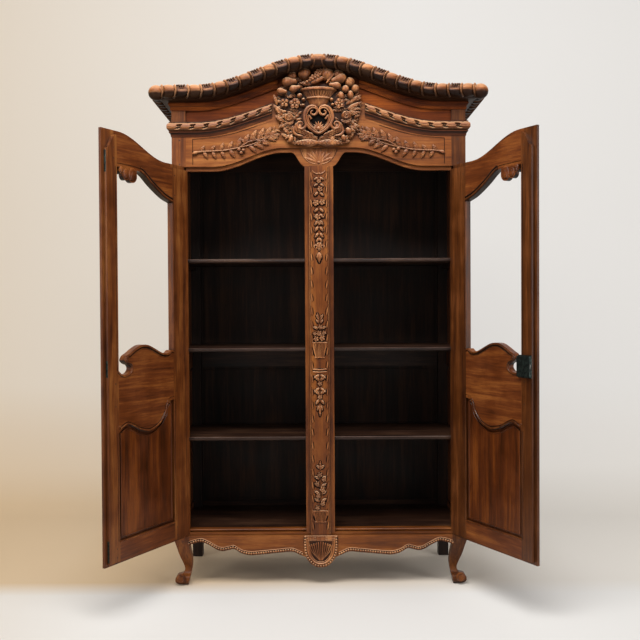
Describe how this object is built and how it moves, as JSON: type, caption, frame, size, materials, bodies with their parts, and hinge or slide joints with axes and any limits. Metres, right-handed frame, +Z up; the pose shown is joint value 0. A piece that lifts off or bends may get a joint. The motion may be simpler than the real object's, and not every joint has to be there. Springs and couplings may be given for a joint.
{
  "type": "display armoire",
  "caption": "Tall carved two-door armoire with an arched cornice, open-framed upper door panels, cabriole front legs, shelves and a box lock.",
  "frame": {"origin": "on the floor, on the centre line, in the front plane of the posts, frieze and apron", "axes": "+Z up, +Y from the front towards the back, +X to the viewer's right"},
  "size_m": [1.8406, 1.1274, 2.519],
  "materials": {
    "waxed_walnut": "waxed, worn satin",
    "door_walnut": "waxed satin",
    "carved_walnut": "waxed carving with dark hollows",
    "moulding_walnut": "waxed satin",
    "plain_boards": "dark, unpolished",
    "oak_pegs": "end grain, waxed",
    "hinge_steel": "old polished steel",
    "bolt_steel": "worn steel",
    "dark_iron": "blackened iron"
  },
  "bodies": {
    "case": {"left_front_post": "waxed_walnut", "right_front_post": "waxed_walnut", "left_rear_post": "plain_boards", "right_rear_post": "plain_boards", "centre_post": "waxed_walnut", "frieze_board": "waxed_walnut", "cornice_board": "waxed_walnut", "drop_fan": "carved_walnut", "basket_carving": "carved_walnut", "rope_moulding": "moulding_walnut", "bed_moulding": "moulding_walnut", "crown_moulding": "moulding_walnut", "top_board": "plain_boards", "apron": "waxed_walnut", "apron_shield": "carved_walnut", "door_sill": "waxed_walnut", "bottom_board": "plain_boards", "shelf_1": "plain_boards", "shelf_2": "plain_boards", "shelf_3": "plain_boards", "left_shelf_cleats": "plain_boards", "right_shelf_cleats": "plain_boards", "left_side_rails": "waxed_walnut", "right_side_rails": "waxed_walnut", "left_side_panels": "waxed_walnut", "right_side_panels": "waxed_walnut", "back_rails": "plain_boards", "back_muntin": "plain_boards", "back_panels": "plain_boards", "left_hinge_post_halves": "hinge_steel", "right_hinge_post_halves": "hinge_steel", "left_hinge_pins": "bolt_steel", "right_hinge_pins": "bolt_steel", "case_pegs": "oak_pegs"},
    "left_door": {"left_door_hinge_stile": "door_walnut", "left_door_lock_stile": "door_walnut", "left_door_top_rail": "door_walnut", "left_door_scrolled_rail": "door_walnut", "left_door_hanging_rail": "door_walnut", "left_door_bottom_rail": "door_walnut", "left_door_panel": "door_walnut", "left_door_pegs": "oak_pegs", "left_hinge_door_halves": "hinge_steel", "left_edge_plates": "dark_iron", "left_strike_plate": "dark_iron"},
    "right_door": {"right_door_hinge_stile": "door_walnut", "right_door_lock_stile": "door_walnut", "right_door_top_rail": "door_walnut", "right_door_scrolled_rail": "door_walnut", "right_door_hanging_rail": "door_walnut", "right_door_bottom_rail": "door_walnut", "right_door_panel": "door_walnut", "right_door_pegs": "oak_pegs", "right_hinge_door_halves": "hinge_steel", "lock_case": "dark_iron"},
    "lock_bolt": {"lock_bolt": "bolt_steel"},
    "left_top_bolt": {"left_top_bolt": "bolt_steel"},
    "left_bottom_bolt": {"left_bottom_bolt": "bolt_steel"}
  },
  "joints": [
    {"name": "left_door_hinge", "type": "hinge", "parent": "case", "child": "left_door", "pos_m": [-0.655, -0.008, 1], "axis": [0, 0, 1], "range_deg": [-48, 117]},
    {"name": "right_door_hinge", "type": "hinge", "parent": "case", "child": "right_door", "pos_m": [0.655, -0.008, 1], "axis": [0, 0, 1], "range_deg": [-117, 48]},
    {"name": "lock_bolt_slide", "type": "slide", "parent": "right_door", "child": "lock_bolt", "axis": [0.454, -0.891, 0], "range_m": [0, 0.015]},
    {"name": "left_top_bolt_slide", "type": "slide", "parent": "left_door", "child": "left_top_bolt", "axis": [0, 0, 1], "range_m": [0, 0.015]},
    {"name": "left_bottom_bolt_slide", "type": "slide", "parent": "left_door", "child": "left_bottom_bolt", "axis": [0, 0, -1], "range_m": [0, 0.015]}
  ]
}
